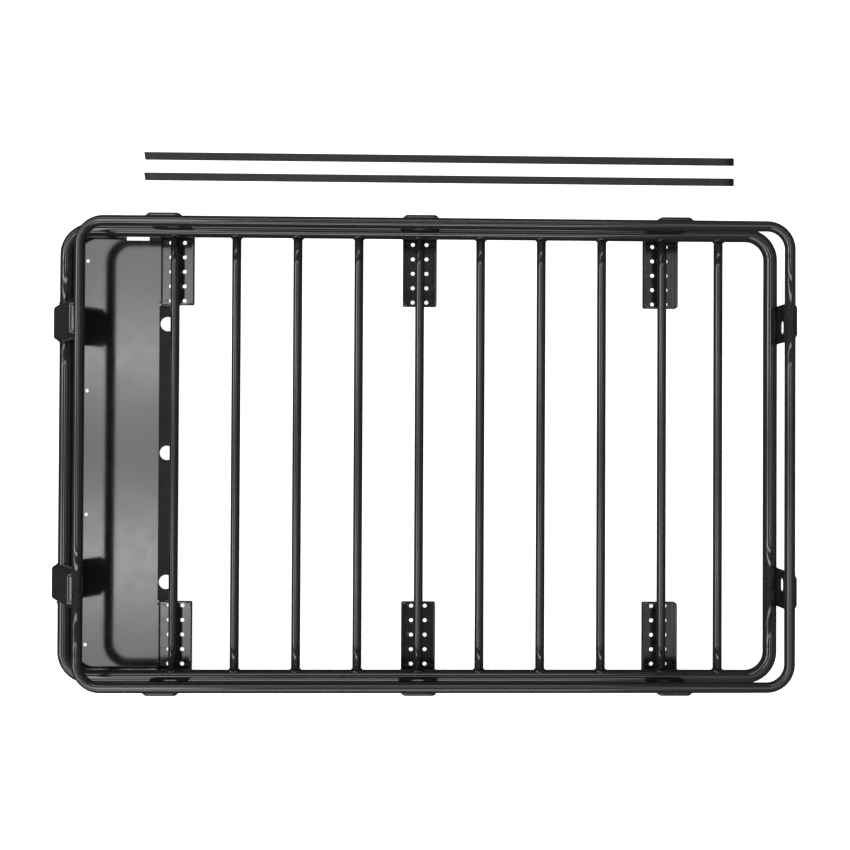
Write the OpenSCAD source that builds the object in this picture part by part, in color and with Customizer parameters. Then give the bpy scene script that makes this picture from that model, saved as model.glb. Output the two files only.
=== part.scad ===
// Roof cargo basket: two welded tube rails, ten cross bars, pressed uprights,
// six mounting trays, a front wind deflector and two loose strips.
// The front of the basket points to -X, its right side to +Y. The mounting
// faces of the trays lie on Z = 0 and the origin is midway between them.

/* [Lower frame] */
// Length of the lower rail over its tube faces
rail_length = 1767; // [1400:1:2200]
// Width of the lower rail over its tube faces
rail_width = 1126; // [930:1:1400]
// Outside diameter of the lower rail tube
lower_tube_d = 33.7; // [26:0.1:42]
// Wall thickness of the lower rail tube
lower_tube_wall = 2; // [1.2:0.1:3]
// Corner radius of the lower rail, at the tube centre
lower_bend_r = 62; // [50:1:90]
// Height of the lower rail and cross bar centres above the mounting faces
rail_z = 36; // [32:0.5:60]

/* [Cross bars] */
// Outside diameter of a cross bar
bar_d = 22.2; // [16:0.1:26]
// Wall thickness of a cross bar
bar_wall = 1.6; // [1:0.1:2.5]
// Front face of the lower rail to the first cross bar
front_bay = 280; // [230:1:340]
// Last tray bar to the rearmost cross bar
last_bar_gap = 140; // [100:1:180]
// Rearmost cross bar to the rear face of the lower rail
rear_bay = 147; // [100:1:200]

/* [Upper rail] */
// Outside diameter of the upper rail tube
upper_tube_d = 25.4; // [20:0.1:32]
// Wall thickness of the upper rail tube
upper_tube_wall = 1.6; // [1:0.1:2.5]
// Corner radius of the upper rail, at the tube centre
upper_bend_r = 55; // [45:1:90]
// Rise of the upper rail above the lower rail, centre to centre
upper_rise = 130; // [100:1:170]
// Front face of the upper rail behind that of the lower rail
front_rake = 69; // [0:1:80]
// Rear face of the upper rail beyond that of the lower rail
rear_overhang = 2.5; // [0:0.5:30]
// Side face of the upper rail inside that of the lower rail
side_inset = 4.15; // [0:0.05:10]
// Distance of the tube butt welds from the middle of each end
seam_y = 320; // [200:1:380]

/* [Uprights] */
// Flat width of a pressed upright
upright_w = 75; // [60:1:90]
// Sheet thickness of the uprights
upright_t = 2.5; // [1.5:0.1:4]
// Clear distance from the tube faces to the outside of a side upright
side_standoff = 8.5; // [7:0.5:20]
// Clear distance from the tube faces to the outside of a front upright
front_standoff = 11; // [7:0.5:20]
// Clear distance from the tube faces to the outside of a rear upright
rear_standoff = 7.5; // [4:0.5:20]
// Side and end flanges overlap the tube faces by this much
flange_lap = 6; // [4:0.5:10]
// Side uprights stand this far outside the tray bars, towards the ends
upright_shift = 6.5; // [0:1:30]
// Distance of the front uprights from the centre line
front_upright_y = 318.5; // [200:1:380]
// Distance of the rear uprights from the centre line
rear_upright_y = 322; // [200:1:380]
// Length of a strap slot
slot_w = 33; // [20:1:45]
// Height of a strap slot
slot_h = 18; // [8:0.5:20]
// Height of the strap slots above the lower rail centre
slot_rise = 24; // [8:1:40]

/* [Mounting trays] */
// Width of a mounting tray
tray_w = 84; // [70:1:100]
// Length of a mounting tray
tray_length = 186; // [180:1:240]
// Sheet thickness of a tray
tray_t = 3; // [2:0.1:5]
// Height of the turned-up tray sides
tray_h = 28; // [27:0.5:31]
// Diameter of the tray holes
tray_hole_d = 10; // [6:0.5:12]
// Distance between the two rows of holes
hole_row_gap = 34; // [30:0.5:50]
// Hole pitch along a row
hole_pitch = 36; // [24:0.5:40]
// Inner end of the tray to the first hole
hole_start = 11.5; // [10:0.5:20]

/* [Wind deflector] */
// Sheet thickness of the deflector
deflector_t = 2; // [1:0.1:3]
// Height of the deflector panel, underside
deflector_z = 12; // [10:0.5:15]
// Fall of the rear flange from the panel to the first bar
flange_fall = 8; // [4:0.5:9]
// Diameter of the cable holes beside the first bar
cable_hole_d = 35; // [20:1:36]
// Distance between neighbouring cable holes
cable_hole_pitch = 318.5; // [200:0.5:320]
// Diameter of the accessory holes along the front rim
rim_hole_d = 9; // [5:0.5:12]
// Front edge of the deflector to the accessory holes
rim_hole_setback = 34.5; // [15:0.5:50]
// Distance of the inner accessory holes from the centre line
rim_hole_inner = 152.5; // [100:0.5:180]
// Inner to outer accessory hole
rim_hole_pitch = 320; // [200:1:330]
// Length of the drain notch in the right side of the deflector
notch_length = 56; // [30:1:80]
// Depth of the drain notch
notch_depth = 12; // [6:1:20]

/* [Loose strips] */
// Length of a loose strip
strip_length = 1473; // [800:1:1800]
// Width of a loose strip
strip_w = 19; // [12:0.5:30]
// Thickness of a loose strip
strip_t = 5; // [3:0.5:10]
// Side of the lower rail to the nearer strip
strip_gap = 113.5; // [60:0.5:300]
// Rear ends of the strips ahead of the rear face of the lower rail
strip_rear_gap = 99; // [0:1:300]
// Nearer strip to farther strip, centre to centre
strip_pitch = 51; // [35:1:120]

/* [Hidden] */
$fn = 64;

frame_black = [0.07, 0.07, 0.075];
sheet_black = [0.10, 0.10, 0.105];
strip_grey = [0.20, 0.20, 0.21];

// Bars: 1, 5 and 9 stand over the trays, the rearmost one follows behind.
tray_pitch = (rail_length - front_bay - last_bar_gap - rear_bay) / 2;
bars_per_tray = 4;
bar_pitch = tray_pitch / bars_per_tray;
middle_bar = 5;
last_bar = 10;
function bar_x(n) = n == last_bar ? tray_pitch + last_bar_gap : (n - middle_bar) * bar_pitch;

// Rail faces and tube centre lines.
front_face = -tray_pitch - front_bay;
rear_face = front_face + rail_length;
lower_r = lower_tube_d / 2;
upper_r = upper_tube_d / 2;
upper_z = rail_z + upper_rise;
lower_y = rail_width / 2 - lower_r;
upper_y = rail_width / 2 - side_inset - upper_r;
lower_front = front_face + lower_r;
lower_rear = rear_face - lower_r;
upper_front = front_face + front_rake + upper_r;
upper_rear = rear_face + rear_overhang - upper_r;

// Uprights run from the underside of the lower rail to just below the top of the upper tube.
upright_bottom = rail_z - lower_r;
upright_top = upper_z - upper_r / 3;
// Each side flange leans outwards by this share of its depth.
flange_lean = 0.7;
slot_inset = 6;

// Trays reach from under the bars out to the lower rail.
tray_outer = lower_y + lower_r / 3;
tray_inner = tray_outer - tray_length;
holes_per_row = 5;
tray_corner_r = 10;

// Deflector: its edge flange stands inside the tube centre line and meets the tube from below.
edge_inset = 10;
edge_height = 14;
edge_x = lower_front + edge_inset;
edge_y = lower_y - edge_inset;
edge_r = lower_bend_r - edge_inset;
deflector_end = -tray_pitch - tray_w / 2;
flange_gap = 1;
flange_y = tray_inner - flange_gap;
flange_end = -tray_pitch;
flange_slope = flange_fall / (flange_end - deflector_end);
cable_hole_margin = 2;
notch_rear_gap = 26;
big = 3000;

// ---- tubes ----

module ring(d, wall) {
    difference() {
        circle(d = d);
        circle(d = d - 2 * wall);
    }
}

// Straight tube from one point to the next along +X.
module tube_x(d, wall, length) {
    rotate([90, 0, 90]) linear_extrude(length) ring(d, wall);
}

// Straight tube along +Y.
module tube_y(d, wall, length) {
    rotate([-90, 0, 0]) linear_extrude(length) ring(d, wall);
}

// Quarter bend about the origin, from +X round to +Y.
module tube_bend(d, wall, r) {
    rotate_extrude(angle = 90) translate([r, 0]) ring(d, wall);
}

// Half of a rail, centred on the origin: from the rear butt weld round both corners
// of the +Y side to the front butt weld. Turned half a turn it gives the other half.
module rail_half(half_x, half_y, r, d, wall, seam) {
    run = half_y - r;
    translate([half_x, seam, 0]) tube_y(d, wall, run - seam);
    translate([half_x - r, run, 0]) tube_bend(d, wall, r);
    translate([r - half_x, half_y, 0]) tube_x(d, wall, 2 * (half_x - r));
    translate([r - half_x, run, 0]) rotate([0, 0, 90]) tube_bend(d, wall, r);
    translate([-half_x, -seam, 0]) tube_y(d, wall, run + seam);
}

module lower_rail_half() {
    half_x = (lower_rear - lower_front) / 2;
    rail_half(half_x, lower_y, lower_bend_r, lower_tube_d, lower_tube_wall, seam_y);
}

module upper_rail_half() {
    half_x = (upper_rear - upper_front) / 2;
    rail_half(half_x, upper_y, upper_bend_r, upper_tube_d, upper_tube_wall, seam_y);
}

// The lower rail's halves meet diagonally opposite to those of the upper rail.
module lower_rail(side) {
    color(frame_black)
        translate([(lower_rear + lower_front) / 2, 0, rail_z])
        rotate([0, 0, side > 0 ? 0 : 180])
        mirror([1, 0, 0])
        lower_rail_half();
}

module upper_rail(side) {
    color(frame_black)
        translate([(upper_rear + upper_front) / 2, 0, upper_z])
        rotate([0, 0, side > 0 ? 0 : 180])
        upper_rail_half();
}

// Solid rods with the outer size of the straight rail runs, for coping what meets them.
module lower_side_rods() {
    for (side = [-1, 1])
        translate([-big / 2, side * lower_y, rail_z])
            rotate([0, 90, 0]) cylinder(d = lower_tube_d, h = big);
}

// ---- cross bars ----

module cross_bar(n) {
    color(frame_black)
        difference() {
            translate([bar_x(n), -lower_y, rail_z]) tube_y(bar_d, bar_wall, 2 * lower_y);
            lower_side_rods();
        }
}

// ---- uprights ----

// Section of the pressed channel: flat web on the line y = 0, flanges leaning
// outwards as they run back to y = -depth.
module channel_section(depth) {
    half = upright_w / 2;
    lean = flange_lean * depth;
    skew = upright_t * sqrt(1 + flange_lean * flange_lean);
    corner = half + flange_lean * upright_t - skew;
    polygon([
        [-half - lean, -depth], [-half, 0], [half, 0], [half + lean, -depth],
        [half + lean - skew, -depth], [corner, -upright_t],
        [-corner, -upright_t], [-half - lean + skew, -depth]
    ]);
}

// The same outline filled in, for the top shelf.
module channel_outline(depth) {
    half = upright_w / 2;
    lean = flange_lean * depth;
    polygon([[-half - lean, -depth], [-half, 0], [half, 0], [half + lean, -depth]]);
}

// Flat block between two heights.
module layer(low, high) {
    translate([-big / 2, -big / 2, low]) cube([big, big, high - low]);
}

module strap_slot() {
    straight = slot_w - slot_h;
    rotate([90, 0, 0]) {
        translate([-straight / 2, -slot_h / 2, -upright_w / 2]) cube([straight, slot_h, upright_w]);
        for (end = [-1, 1])
            translate([end * straight / 2, 0, 0]) cylinder(d = slot_h, h = upright_w, center = true);
    }
}

// An upright whose lower tube runs along X through y = 0 and whose upper tube lies
// "set" further outwards (+Y). The web stands "clear" of the two tube faces.
module upright(set, clear, slotted, shift) {
    lean = atan2(set + upper_r - lower_r, upper_rise);
    depth = clear + flange_lap;
    color(frame_black)
        difference() {
            union() {
                intersection() {
                    layer(upright_bottom, upright_top);
                    translate([0, lower_r + clear, rail_z]) rotate([-lean, 0, 0])
                        translate([0, 0, -upper_rise]) linear_extrude(3 * upper_rise)
                        channel_section(depth);
                }
                intersection() {
                    layer(upright_top - upright_t, upright_top);
                    translate([0, lower_r + clear, rail_z]) rotate([-lean, 0, 0])
                        translate([0, 0, -upper_rise]) linear_extrude(3 * upper_rise)
                        channel_outline(depth);
                }
            }
            translate([-upright_w, 0, rail_z]) rotate([0, 90, 0])
                cylinder(d = lower_tube_d, h = 2 * upright_w);
            translate([-upright_w, set, upper_z]) rotate([0, 90, 0])
                cylinder(d = upper_tube_d, h = 2 * upright_w);
            if (slotted)
                translate([shift, lower_r + clear, rail_z + slot_rise]) strap_slot();
        }
}

// side: 1 right, -1 left; place: -1 front, 0 middle, 1 rear.
module side_upright(side, place) {
    translate([place * (tray_pitch + upright_shift), 0, 0])
        mirror([0, side > 0 ? 0 : 1, 0])
        translate([0, lower_y, 0])
        upright(upper_y - lower_y, side_standoff, true, 0);
}

module front_upright(side) {
    translate([lower_front, side * front_upright_y, 0]) rotate([0, 0, 90])
        upright(lower_front - upper_front, front_standoff, false, 0);
}

module rear_upright(side) {
    translate([lower_rear, side * rear_upright_y, 0]) rotate([0, 0, -90])
        upright(upper_rear - lower_rear, rear_standoff, true, side * slot_inset);
}

// ---- mounting trays ----

// Inner lip of a tray, seen from its end: round upper corners and a saddle for the bar.
module tray_lip() {
    half = tray_w / 2;
    translate([0, tray_inner + tray_t, 0]) rotate([90, 0, 0]) linear_extrude(tray_t)
        difference() {
            union() {
                translate([-half, 0]) square([tray_w, tray_h - tray_corner_r]);
                translate([tray_corner_r - half, 0]) square([tray_w - 2 * tray_corner_r, tray_h]);
                for (end = [-1, 1])
                    translate([end * (half - tray_corner_r), tray_h - tray_corner_r])
                        circle(r = tray_corner_r);
            }
            translate([0, rail_z]) circle(d = bar_d);
        }
}

// Side of a tray, seen from the side: one height except for a round inner corner.
module tray_side(high) {
    rotate([90, 0, 90]) linear_extrude(tray_t) union() {
        translate([tray_inner, 0]) square([tray_length, high - tray_corner_r]);
        translate([tray_inner + tray_corner_r, 0]) square([tray_length - tray_corner_r, high]);
        translate([tray_inner + tray_corner_r, high - tray_corner_r]) circle(r = tray_corner_r);
    }
}

// The front side of a front tray stands only as high as the deflector, which butts against it.
module tray(side, place) {
    half = tray_w / 2;
    front_high = place < 0 ? deflector_z + deflector_t : tray_h;
    color(frame_black)
        translate([place * tray_pitch, 0, 0])
        mirror([0, side > 0 ? 0 : 1, 0])
        difference() {
            union() {
                translate([-half, tray_inner, 0]) cube([tray_w, tray_length, tray_t]);
                translate([-half, 0, 0]) tray_side(front_high);
                translate([half - tray_t, 0, 0]) tray_side(tray_h);
                tray_lip();
            }
            for (row = [-1, 1])
                for (n = [0 : holes_per_row - 1])
                    translate([row * hole_row_gap / 2, tray_inner + hole_start + n * hole_pitch, 0])
                        cylinder(d = tray_hole_d, h = 3 * tray_t, center = true);
            translate([-tray_w, lower_y, rail_z]) rotate([0, 90, 0])
                cylinder(d = lower_tube_d, h = 2 * tray_w);
        }
}

// ---- wind deflector ----

// Sheet outline with round front corners, from x up to the trays.
module front_outline(x, y, r) {
    translate([x + r, -y]) square([deflector_end - x - r, 2 * y]);
    translate([x, r - y]) square([2 * r, 2 * (y - r)]);
    for (side = [-1, 1]) translate([x + r, side * (y - r)]) circle(r = r);
}

// Rear flange between the two front trays: it falls to the rear, then a lip stands up to the bar.
module rear_flange() {
    rise = sqrt(1 + flange_slope * flange_slope);
    top = deflector_z + deflector_t;
    lip_foot = deflector_z - flange_fall + deflector_t * (rise + flange_slope);
    rotate([90, 0, 0]) translate([0, 0, -flange_y]) linear_extrude(2 * flange_y)
        polygon([
            [deflector_end, deflector_z], [flange_end, deflector_z - flange_fall],
            [flange_end, rail_z], [flange_end - deflector_t, rail_z],
            [flange_end - deflector_t, lip_foot],
            [deflector_end + deflector_t * (rise - 1) / flange_slope, top], [deflector_end, top]
        ]);
}

module rim_holes() {
    for (side = [-1, 1])
        for (y = [rim_hole_inner, rim_hole_inner + rim_hole_pitch])
            translate([edge_x + rim_hole_setback, side * y, deflector_z])
                cylinder(d = rim_hole_d, h = 4 * deflector_t, center = true);
}

// The cable holes are square to the falling flange.
module cable_holes() {
    run = cable_hole_margin + cable_hole_d / 2;
    for (n = [-1 : 1])
        translate([deflector_end + run, n * cable_hole_pitch, deflector_z - run * flange_slope])
            rotate([0, atan(flange_slope), 0])
            cylinder(d = cable_hole_d, h = 4 * deflector_t, center = true);
}

module side_notch() {
    translate([deflector_end - notch_rear_gap - notch_length, edge_y - notch_depth, 0])
        cube([notch_length, big, rail_z]);
}

// The lower rail's outer shape around the front of the basket.
module front_rail_rods() {
    lower_side_rods();
    translate([lower_front, -lower_y, rail_z]) rotate([-90, 0, 0])
        cylinder(d = lower_tube_d, h = 2 * lower_y);
    for (side = [0, 1]) mirror([0, side, 0])
        translate([lower_front + lower_bend_r, lower_y - lower_bend_r, rail_z]) rotate([0, 0, 90])
            rotate_extrude(angle = 90) translate([lower_bend_r, 0]) circle(d = lower_tube_d);
}

module wind_deflector() {
    color(sheet_black)
        difference() {
            union() {
                translate([0, 0, deflector_z]) linear_extrude(deflector_t)
                    front_outline(edge_x, edge_y, edge_r);
                translate([0, 0, deflector_z]) linear_extrude(edge_height) difference() {
                    front_outline(edge_x, edge_y, edge_r);
                    front_outline(edge_x + deflector_t, edge_y - deflector_t, edge_r - deflector_t);
                }
                rear_flange();
            }
            rim_holes();
            cable_holes();
            side_notch();
            front_rail_rods();
            translate([bar_x(1), -lower_y, rail_z]) rotate([-90, 0, 0])
                cylinder(d = bar_d, h = 2 * lower_y);
        }
}

// ---- loose strips ----

module loose_strip(n) {
    x = rear_face - strip_rear_gap - strip_length;
    y = rail_width / 2 + strip_gap + n * strip_pitch;
    color(strip_grey)
        translate([x, y, 0]) cube([strip_length, strip_w, strip_t]);
}

lower_rail(1);  // lower_rail_right
lower_rail(-1);  // lower_rail_left
upper_rail(1);  // upper_rail_right
upper_rail(-1);  // upper_rail_left
for (n = [1 : last_bar])
    cross_bar(n);
side_upright(1, -1);  // side_upright_right_front
side_upright(1, 0);  // side_upright_right_middle
side_upright(1, 1);  // side_upright_right_rear
side_upright(-1, -1);  // side_upright_left_front
side_upright(-1, 0);  // side_upright_left_middle
side_upright(-1, 1);  // side_upright_left_rear
front_upright(1);  // front_upright_right
front_upright(-1);  // front_upright_left
rear_upright(1);  // rear_upright_right
rear_upright(-1);  // rear_upright_left
tray(1, -1);  // tray_right_front
tray(1, 0);  // tray_right_middle
tray(1, 1);  // tray_right_rear
tray(-1, -1);  // tray_left_front
tray(-1, 0);  // tray_left_middle
tray(-1, 1);  // tray_left_rear
wind_deflector();
loose_strip(0);  // loose_strip_near
loose_strip(1);  // loose_strip_far
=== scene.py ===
"""Roof cargo basket: builds the finished pieces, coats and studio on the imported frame."""
import math

import bmesh
import bpy
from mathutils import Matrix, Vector, noise
from mathutils.geometry import tessellate_polygon


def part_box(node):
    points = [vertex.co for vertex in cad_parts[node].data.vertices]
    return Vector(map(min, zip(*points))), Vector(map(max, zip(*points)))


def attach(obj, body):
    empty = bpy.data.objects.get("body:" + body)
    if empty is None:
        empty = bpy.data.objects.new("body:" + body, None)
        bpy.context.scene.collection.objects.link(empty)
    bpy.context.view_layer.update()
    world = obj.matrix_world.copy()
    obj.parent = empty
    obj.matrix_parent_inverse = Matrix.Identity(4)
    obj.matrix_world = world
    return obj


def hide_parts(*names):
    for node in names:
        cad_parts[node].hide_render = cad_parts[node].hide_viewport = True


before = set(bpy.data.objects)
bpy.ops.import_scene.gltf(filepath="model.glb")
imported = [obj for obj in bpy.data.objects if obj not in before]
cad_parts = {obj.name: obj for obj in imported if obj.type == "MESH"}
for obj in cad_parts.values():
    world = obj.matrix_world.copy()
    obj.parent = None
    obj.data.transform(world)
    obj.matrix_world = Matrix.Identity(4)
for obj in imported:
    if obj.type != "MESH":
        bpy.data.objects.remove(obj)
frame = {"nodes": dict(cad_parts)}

bl_info = {
    "name": "Roof Cargo Basket",
    "version": (1, 0, 0),
    "blender": (4, 5, 0),
    "location": "View3D > Sidebar > Basket",
    "description": "Builds the tubes, pressings, welds, strips and coats of a roof cargo basket",
    "category": "Object",
}

MM = 0.001
UP = Vector((0, 0, 1))
SIDES = {"right": 1, "left": -1}
PLACES = ("front", "middle", "rear")
BARS = 10
LONGEST_FACE = 0.12       # along a straight tube
EDGE_ROUND = 0.35 * MM    # softened cut edges of the sheet
HAIR_GAP = 0.2 * MM       # between a sheet edge and the tube it is welded to
NEAR = 1e-6               # two places closer than this are the same
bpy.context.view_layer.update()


# ---- sizes read from the frame ----

def span(node, axis):
    """Lowest and highest place of a frame node along one axis."""
    low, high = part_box(node)
    return low[axis], high[axis]


def middle(node, axis):
    low, high = span(node, axis)
    return (low + high) / 2


def half(node, axis):
    low, high = span(node, axis)
    return (high - low) / 2


class Tube:
    """Centre lines and radius of one rail, from its right half in the frame."""

    def __init__(self, node):
        self.radius = half(node, 2)
        self.z = middle(node, 2)
        self.front = span(node, 0)[0] + self.radius
        self.rear = span(node, 0)[1] - self.radius
        self.y = span(node, 1)[1] - self.radius


LOWER = Tube("lower_rail_right")
UPPER = Tube("upper_rail_right")
BAR_RADIUS = half("cross_bar_5", 0)


# ---- mesh helpers ----

def add_piece(name, mesh, body, slot, nodes=()):
    """Put a finished mesh in the scene as a piece that rides on a body."""
    piece = bpy.data.objects.new(name, mesh)
    bpy.context.scene.collection.objects.link(piece)
    for face in mesh.polygons:
        face.use_smooth = True
    mesh.materials.append(coat(slot))
    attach(piece, body)
    if nodes:
        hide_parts(*nodes)
    return piece


def mesh_from(name, bm, turn=True):
    """Mesh of a finished bmesh. turn makes its faces point outwards."""
    if turn:
        bmesh.ops.recalc_face_normals(bm, faces=bm.faces)
    mesh = bpy.data.meshes.new(name)
    bm.to_mesh(mesh)
    bm.free()
    return mesh


def sheet_edges(piece, thickness):
    """Give a single skin its sheet thickness, on the inner side, and soften the cut edges."""
    wall = piece.modifiers.new("Sheet thickness", "SOLIDIFY")
    wall.thickness = thickness
    wall.offset = -1
    wall.use_even_offset = False
    edge = piece.modifiers.new("Cut edges", "BEVEL")
    edge.width = EDGE_ROUND
    edge.segments = 2
    edge.limit_method = "ANGLE"
    edge.angle_limit = math.radians(50)
    even = piece.modifiers.new("Flat faces", "WEIGHTED_NORMAL")
    even.keep_sharp = True


def arc(centre, radius, start, end, steps):
    """Points of an arc in a plane, angles in degrees, both ends included."""
    points = []
    for i in range(steps + 1):
        a = math.radians(start + (end - start) * i / steps)
        points.append((centre[0] + radius * math.cos(a), centre[1] + radius * math.sin(a)))
    return points


def join_rings(bm, rings):
    """Faces between each closed ring of vertices and the next."""
    for one, two in zip(rings, rings[1:]):
        for j in range(len(one)):
            k = (j + 1) % len(one)
            bm.faces.new((one[j], one[k], two[k], two[j]))


def sweep(bm, points, frames, section):
    """Skin a closed section along points, ends capped. A frame holds the section's two axes."""
    rings = []
    for i, (point, (a, b)) in enumerate(zip(points, frames)):
        rings.append([bm.verts.new(point + a * u + b * v) for u, v in section(i)])
    join_rings(bm, rings)
    bm.faces.new(list(reversed(rings[0])))
    bm.faces.new(rings[-1])


def flat_frames(points):
    """Section axes for a path that lies flat: sideways, and up."""
    frames = []
    last = len(points) - 1
    for i in range(last + 1):
        run = points[min(i + 1, last)] - points[max(i - 1, 0)]
        run.z = 0
        frames.append((UP.cross(run.normalized()), UP))
    return frames


def round_section(radius, steps):
    return [(radius * math.cos(2 * math.pi * j / steps), radius * math.sin(2 * math.pi * j / steps))
            for j in range(steps)]


def bead(bm, points, size, seed, normals, ripple=0.16):
    """Lumpy weld bead along points. The normals point away from the joint."""
    last = len(points) - 1
    frames = []
    for i in range(last + 1):
        run = (points[min(i + 1, last)] - points[max(i - 1, 0)]).normalized()
        out = (normals[i] - run * normals[i].dot(run)).normalized()
        frames.append((run.cross(out), out))

    def lump(i):
        p = points[i]
        wave = abs(math.sin(i * 0.9 + seed))
        rough = noise.noise(p * 260 + Vector((seed, seed * 0.7, 0)))
        slow = noise.noise(p * 90 + Vector((0, seed, seed * 1.3)))
        end = min(1.0, 0.45 + 0.28 * min(i, last - i)) if points[0] != points[-1] else 1.0
        r = size * end * (1 + ripple * (wave - 0.5) + 0.16 * rough + 0.18 * slow)
        return [(r * 1.15 * u, r * v) for u, v in round_section(1.0, 10)]

    sweep(bm, points, frames, lump)


def lay_bead(bm, curve, steps, size, seed):
    """Bead along curve(t), 0 to 1, which gives a point and the way out of the joint."""
    pairs = [curve(i / steps) for i in range(steps + 1)]
    bead(bm, [p for p, _ in pairs], size, seed, [n for _, n in pairs])


# ---- coats ----

def ramp(tree, source, stops):
    """Colour ramp over a 0 to 1 value."""
    node = tree.nodes.new("ShaderNodeValToRGB")
    tree.links.new(source, node.inputs["Fac"])
    elements = node.color_ramp.elements
    while len(elements) < len(stops):
        elements.new(0.5)
    for element, (position, colour) in zip(elements, stops):
        element.position = position
        element.color = (*colour, 1)
    return node.outputs["Color"]


def grey(value):
    return (value, value, value)


def noise_map(tree, scale, detail, roughness=0.5):
    where = tree.nodes.get("Where") or tree.nodes.new("ShaderNodeTexCoord")
    where.name = "Where"
    node = tree.nodes.new("ShaderNodeTexNoise")
    node.inputs["Scale"].default_value = scale
    node.inputs["Detail"].default_value = detail
    node.inputs["Roughness"].default_value = roughness
    tree.links.new(where.outputs["Object"], node.inputs["Vector"])
    return node.outputs["Fac"]


def bump(tree, height, strength, distance, before=None):
    node = tree.nodes.new("ShaderNodeBump")
    node.inputs["Strength"].default_value = strength
    node.inputs["Distance"].default_value = distance
    tree.links.new(height, node.inputs["Height"])
    if before is not None:
        tree.links.new(before, node.inputs["Normal"])
    return node.outputs["Normal"]


def mix_colour(tree, factor, one, two, blend="MIX"):
    node = tree.nodes.new("ShaderNodeMix")
    node.data_type = "RGBA"
    node.blend_type = blend
    for socket, value in (("Factor", factor), ("A", one), ("B", two)):
        target = [s for s in node.inputs if s.name == socket and
                  s.type == ("VALUE" if socket == "Factor" else "RGBA")][0]
        if hasattr(value, "links"):
            tree.links.new(value, target)
        else:
            target.default_value = value if socket == "Factor" else (*value, 1)
    return [s for s in node.outputs if s.type == "RGBA"][0]


def new_material(name):
    material = bpy.data.materials.new(name)
    material.use_nodes = True
    tree = material.node_tree
    shader = tree.nodes["Principled BSDF"]
    return material, tree, shader


def powder_coat(name, colour, gloss, peel, wave, edge_wear=True):
    """Gloss powder coat on steel: orange peel, thin edges, faint dust and rubbed patches."""
    material, tree, shader = new_material(name)
    dark = tuple(c * 0.72 for c in colour)
    tone = ramp(tree, noise_map(tree, 14, 4), [(0.3, dark), (0.7, tuple(colour))])
    edge = tree.nodes.new("ShaderNodeNewGeometry").outputs["Pointiness"]
    worn = ramp(tree, edge, [(0.54, grey(0.0)), (0.64, grey(1.0 if edge_wear else 0.0))])
    patchy = ramp(tree, noise_map(tree, 120, 5, 0.65), [(0.45, grey(0.0)), (0.62, grey(1.0))])
    rub = mix_colour(tree, 1.0, worn, patchy, "MULTIPLY")
    thin = tuple(min(1.0, c * 2.6 + 0.012) for c in colour)
    dust = ramp(tree, noise_map(tree, 420, 3, 0.7), [(0.66, grey(0.0)), (0.78, grey(0.55))])
    film = mix_colour(tree, dust, tone, tuple(c * 1.9 + 0.008 for c in colour))
    tree.links.new(mix_colour(tree, rub, film, thin), shader.inputs["Base Color"])
    rough = ramp(tree, noise_map(tree, 32, 5, 0.6),
                 [(0.25, grey(gloss * 0.78)), (0.75, grey(gloss * 1.25))])
    rougher = mix_colour(tree, rub, rough, grey(min(0.6, gloss + 0.2)))
    tree.links.new(rougher, shader.inputs["Roughness"])
    shader.inputs["IOR"].default_value = 1.52
    shader.inputs["Coat Weight"].default_value = 0.25
    shader.inputs["Coat Roughness"].default_value = 0.08
    peel_normal = bump(tree, noise_map(tree, 520, 2, 0.4), peel, 0.00022)
    wave_normal = bump(tree, noise_map(tree, 5, 2, 0.4), wave, 0.001, peel_normal)
    tree.links.new(wave_normal, shader.inputs["Normal"])
    return material


def strip_rubber(name, colour):
    """Matt charcoal extrusion: fine drawn grain along its length and a dusty bloom."""
    material, tree, shader = new_material(name)
    where = tree.nodes.new("ShaderNodeTexCoord")
    stretch = tree.nodes.new("ShaderNodeMapping")
    stretch.inputs["Scale"].default_value = (0.06, 1.0, 1.0)
    tree.links.new(where.outputs["Object"], stretch.inputs["Vector"])
    grain = tree.nodes.new("ShaderNodeTexNoise")
    grain.inputs["Scale"].default_value = 900
    grain.inputs["Detail"].default_value = 4
    tree.links.new(stretch.outputs["Vector"], grain.inputs["Vector"])
    tone = ramp(tree, noise_map(tree, 9, 4), [(0.3, tuple(c * 0.85 for c in colour)), (0.7, tuple(colour))])
    fleck = ramp(tree, grain.outputs["Fac"], [(0.40, grey(0.80)), (0.62, grey(1.15))])
    tree.links.new(mix_colour(tree, 1.0, tone, fleck, "MULTIPLY"), shader.inputs["Base Color"])
    rough = ramp(tree, noise_map(tree, 60, 4), [(0.3, grey(0.55)), (0.7, grey(0.72))])
    tree.links.new(rough, shader.inputs["Roughness"])
    shader.inputs["IOR"].default_value = 1.46
    tree.links.new(bump(tree, grain.outputs["Fac"], 0.25, 0.0002), shader.inputs["Normal"])
    return material


COATS = {}


def coat(slot):
    """The finish that belongs to a material slot of the record."""
    if slot not in COATS:
        colours = bpy.context.scene.basket_coats
        if slot == "frame_coat":
            made = powder_coat("Frame gloss black", colours.frame, colours.frame_gloss, colours.peel, 0.15)
        elif slot == "tray_coat":
            made = powder_coat("Tray gloss black", colours.frame, colours.sheet_gloss, colours.peel, 0.6)
        elif slot == "deflector_coat":
            made = powder_coat("Deflector gloss black", colours.deflector, colours.sheet_gloss, colours.peel,
                               0.6, edge_wear=False)
        elif slot == "strip":
            made = strip_rubber("Strip charcoal", colours.strip)
        else:
            raise RuntimeError("no coat for slot " + slot)
        COATS[slot] = made
    return COATS[slot]


# ---- rails and bars ----

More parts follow.
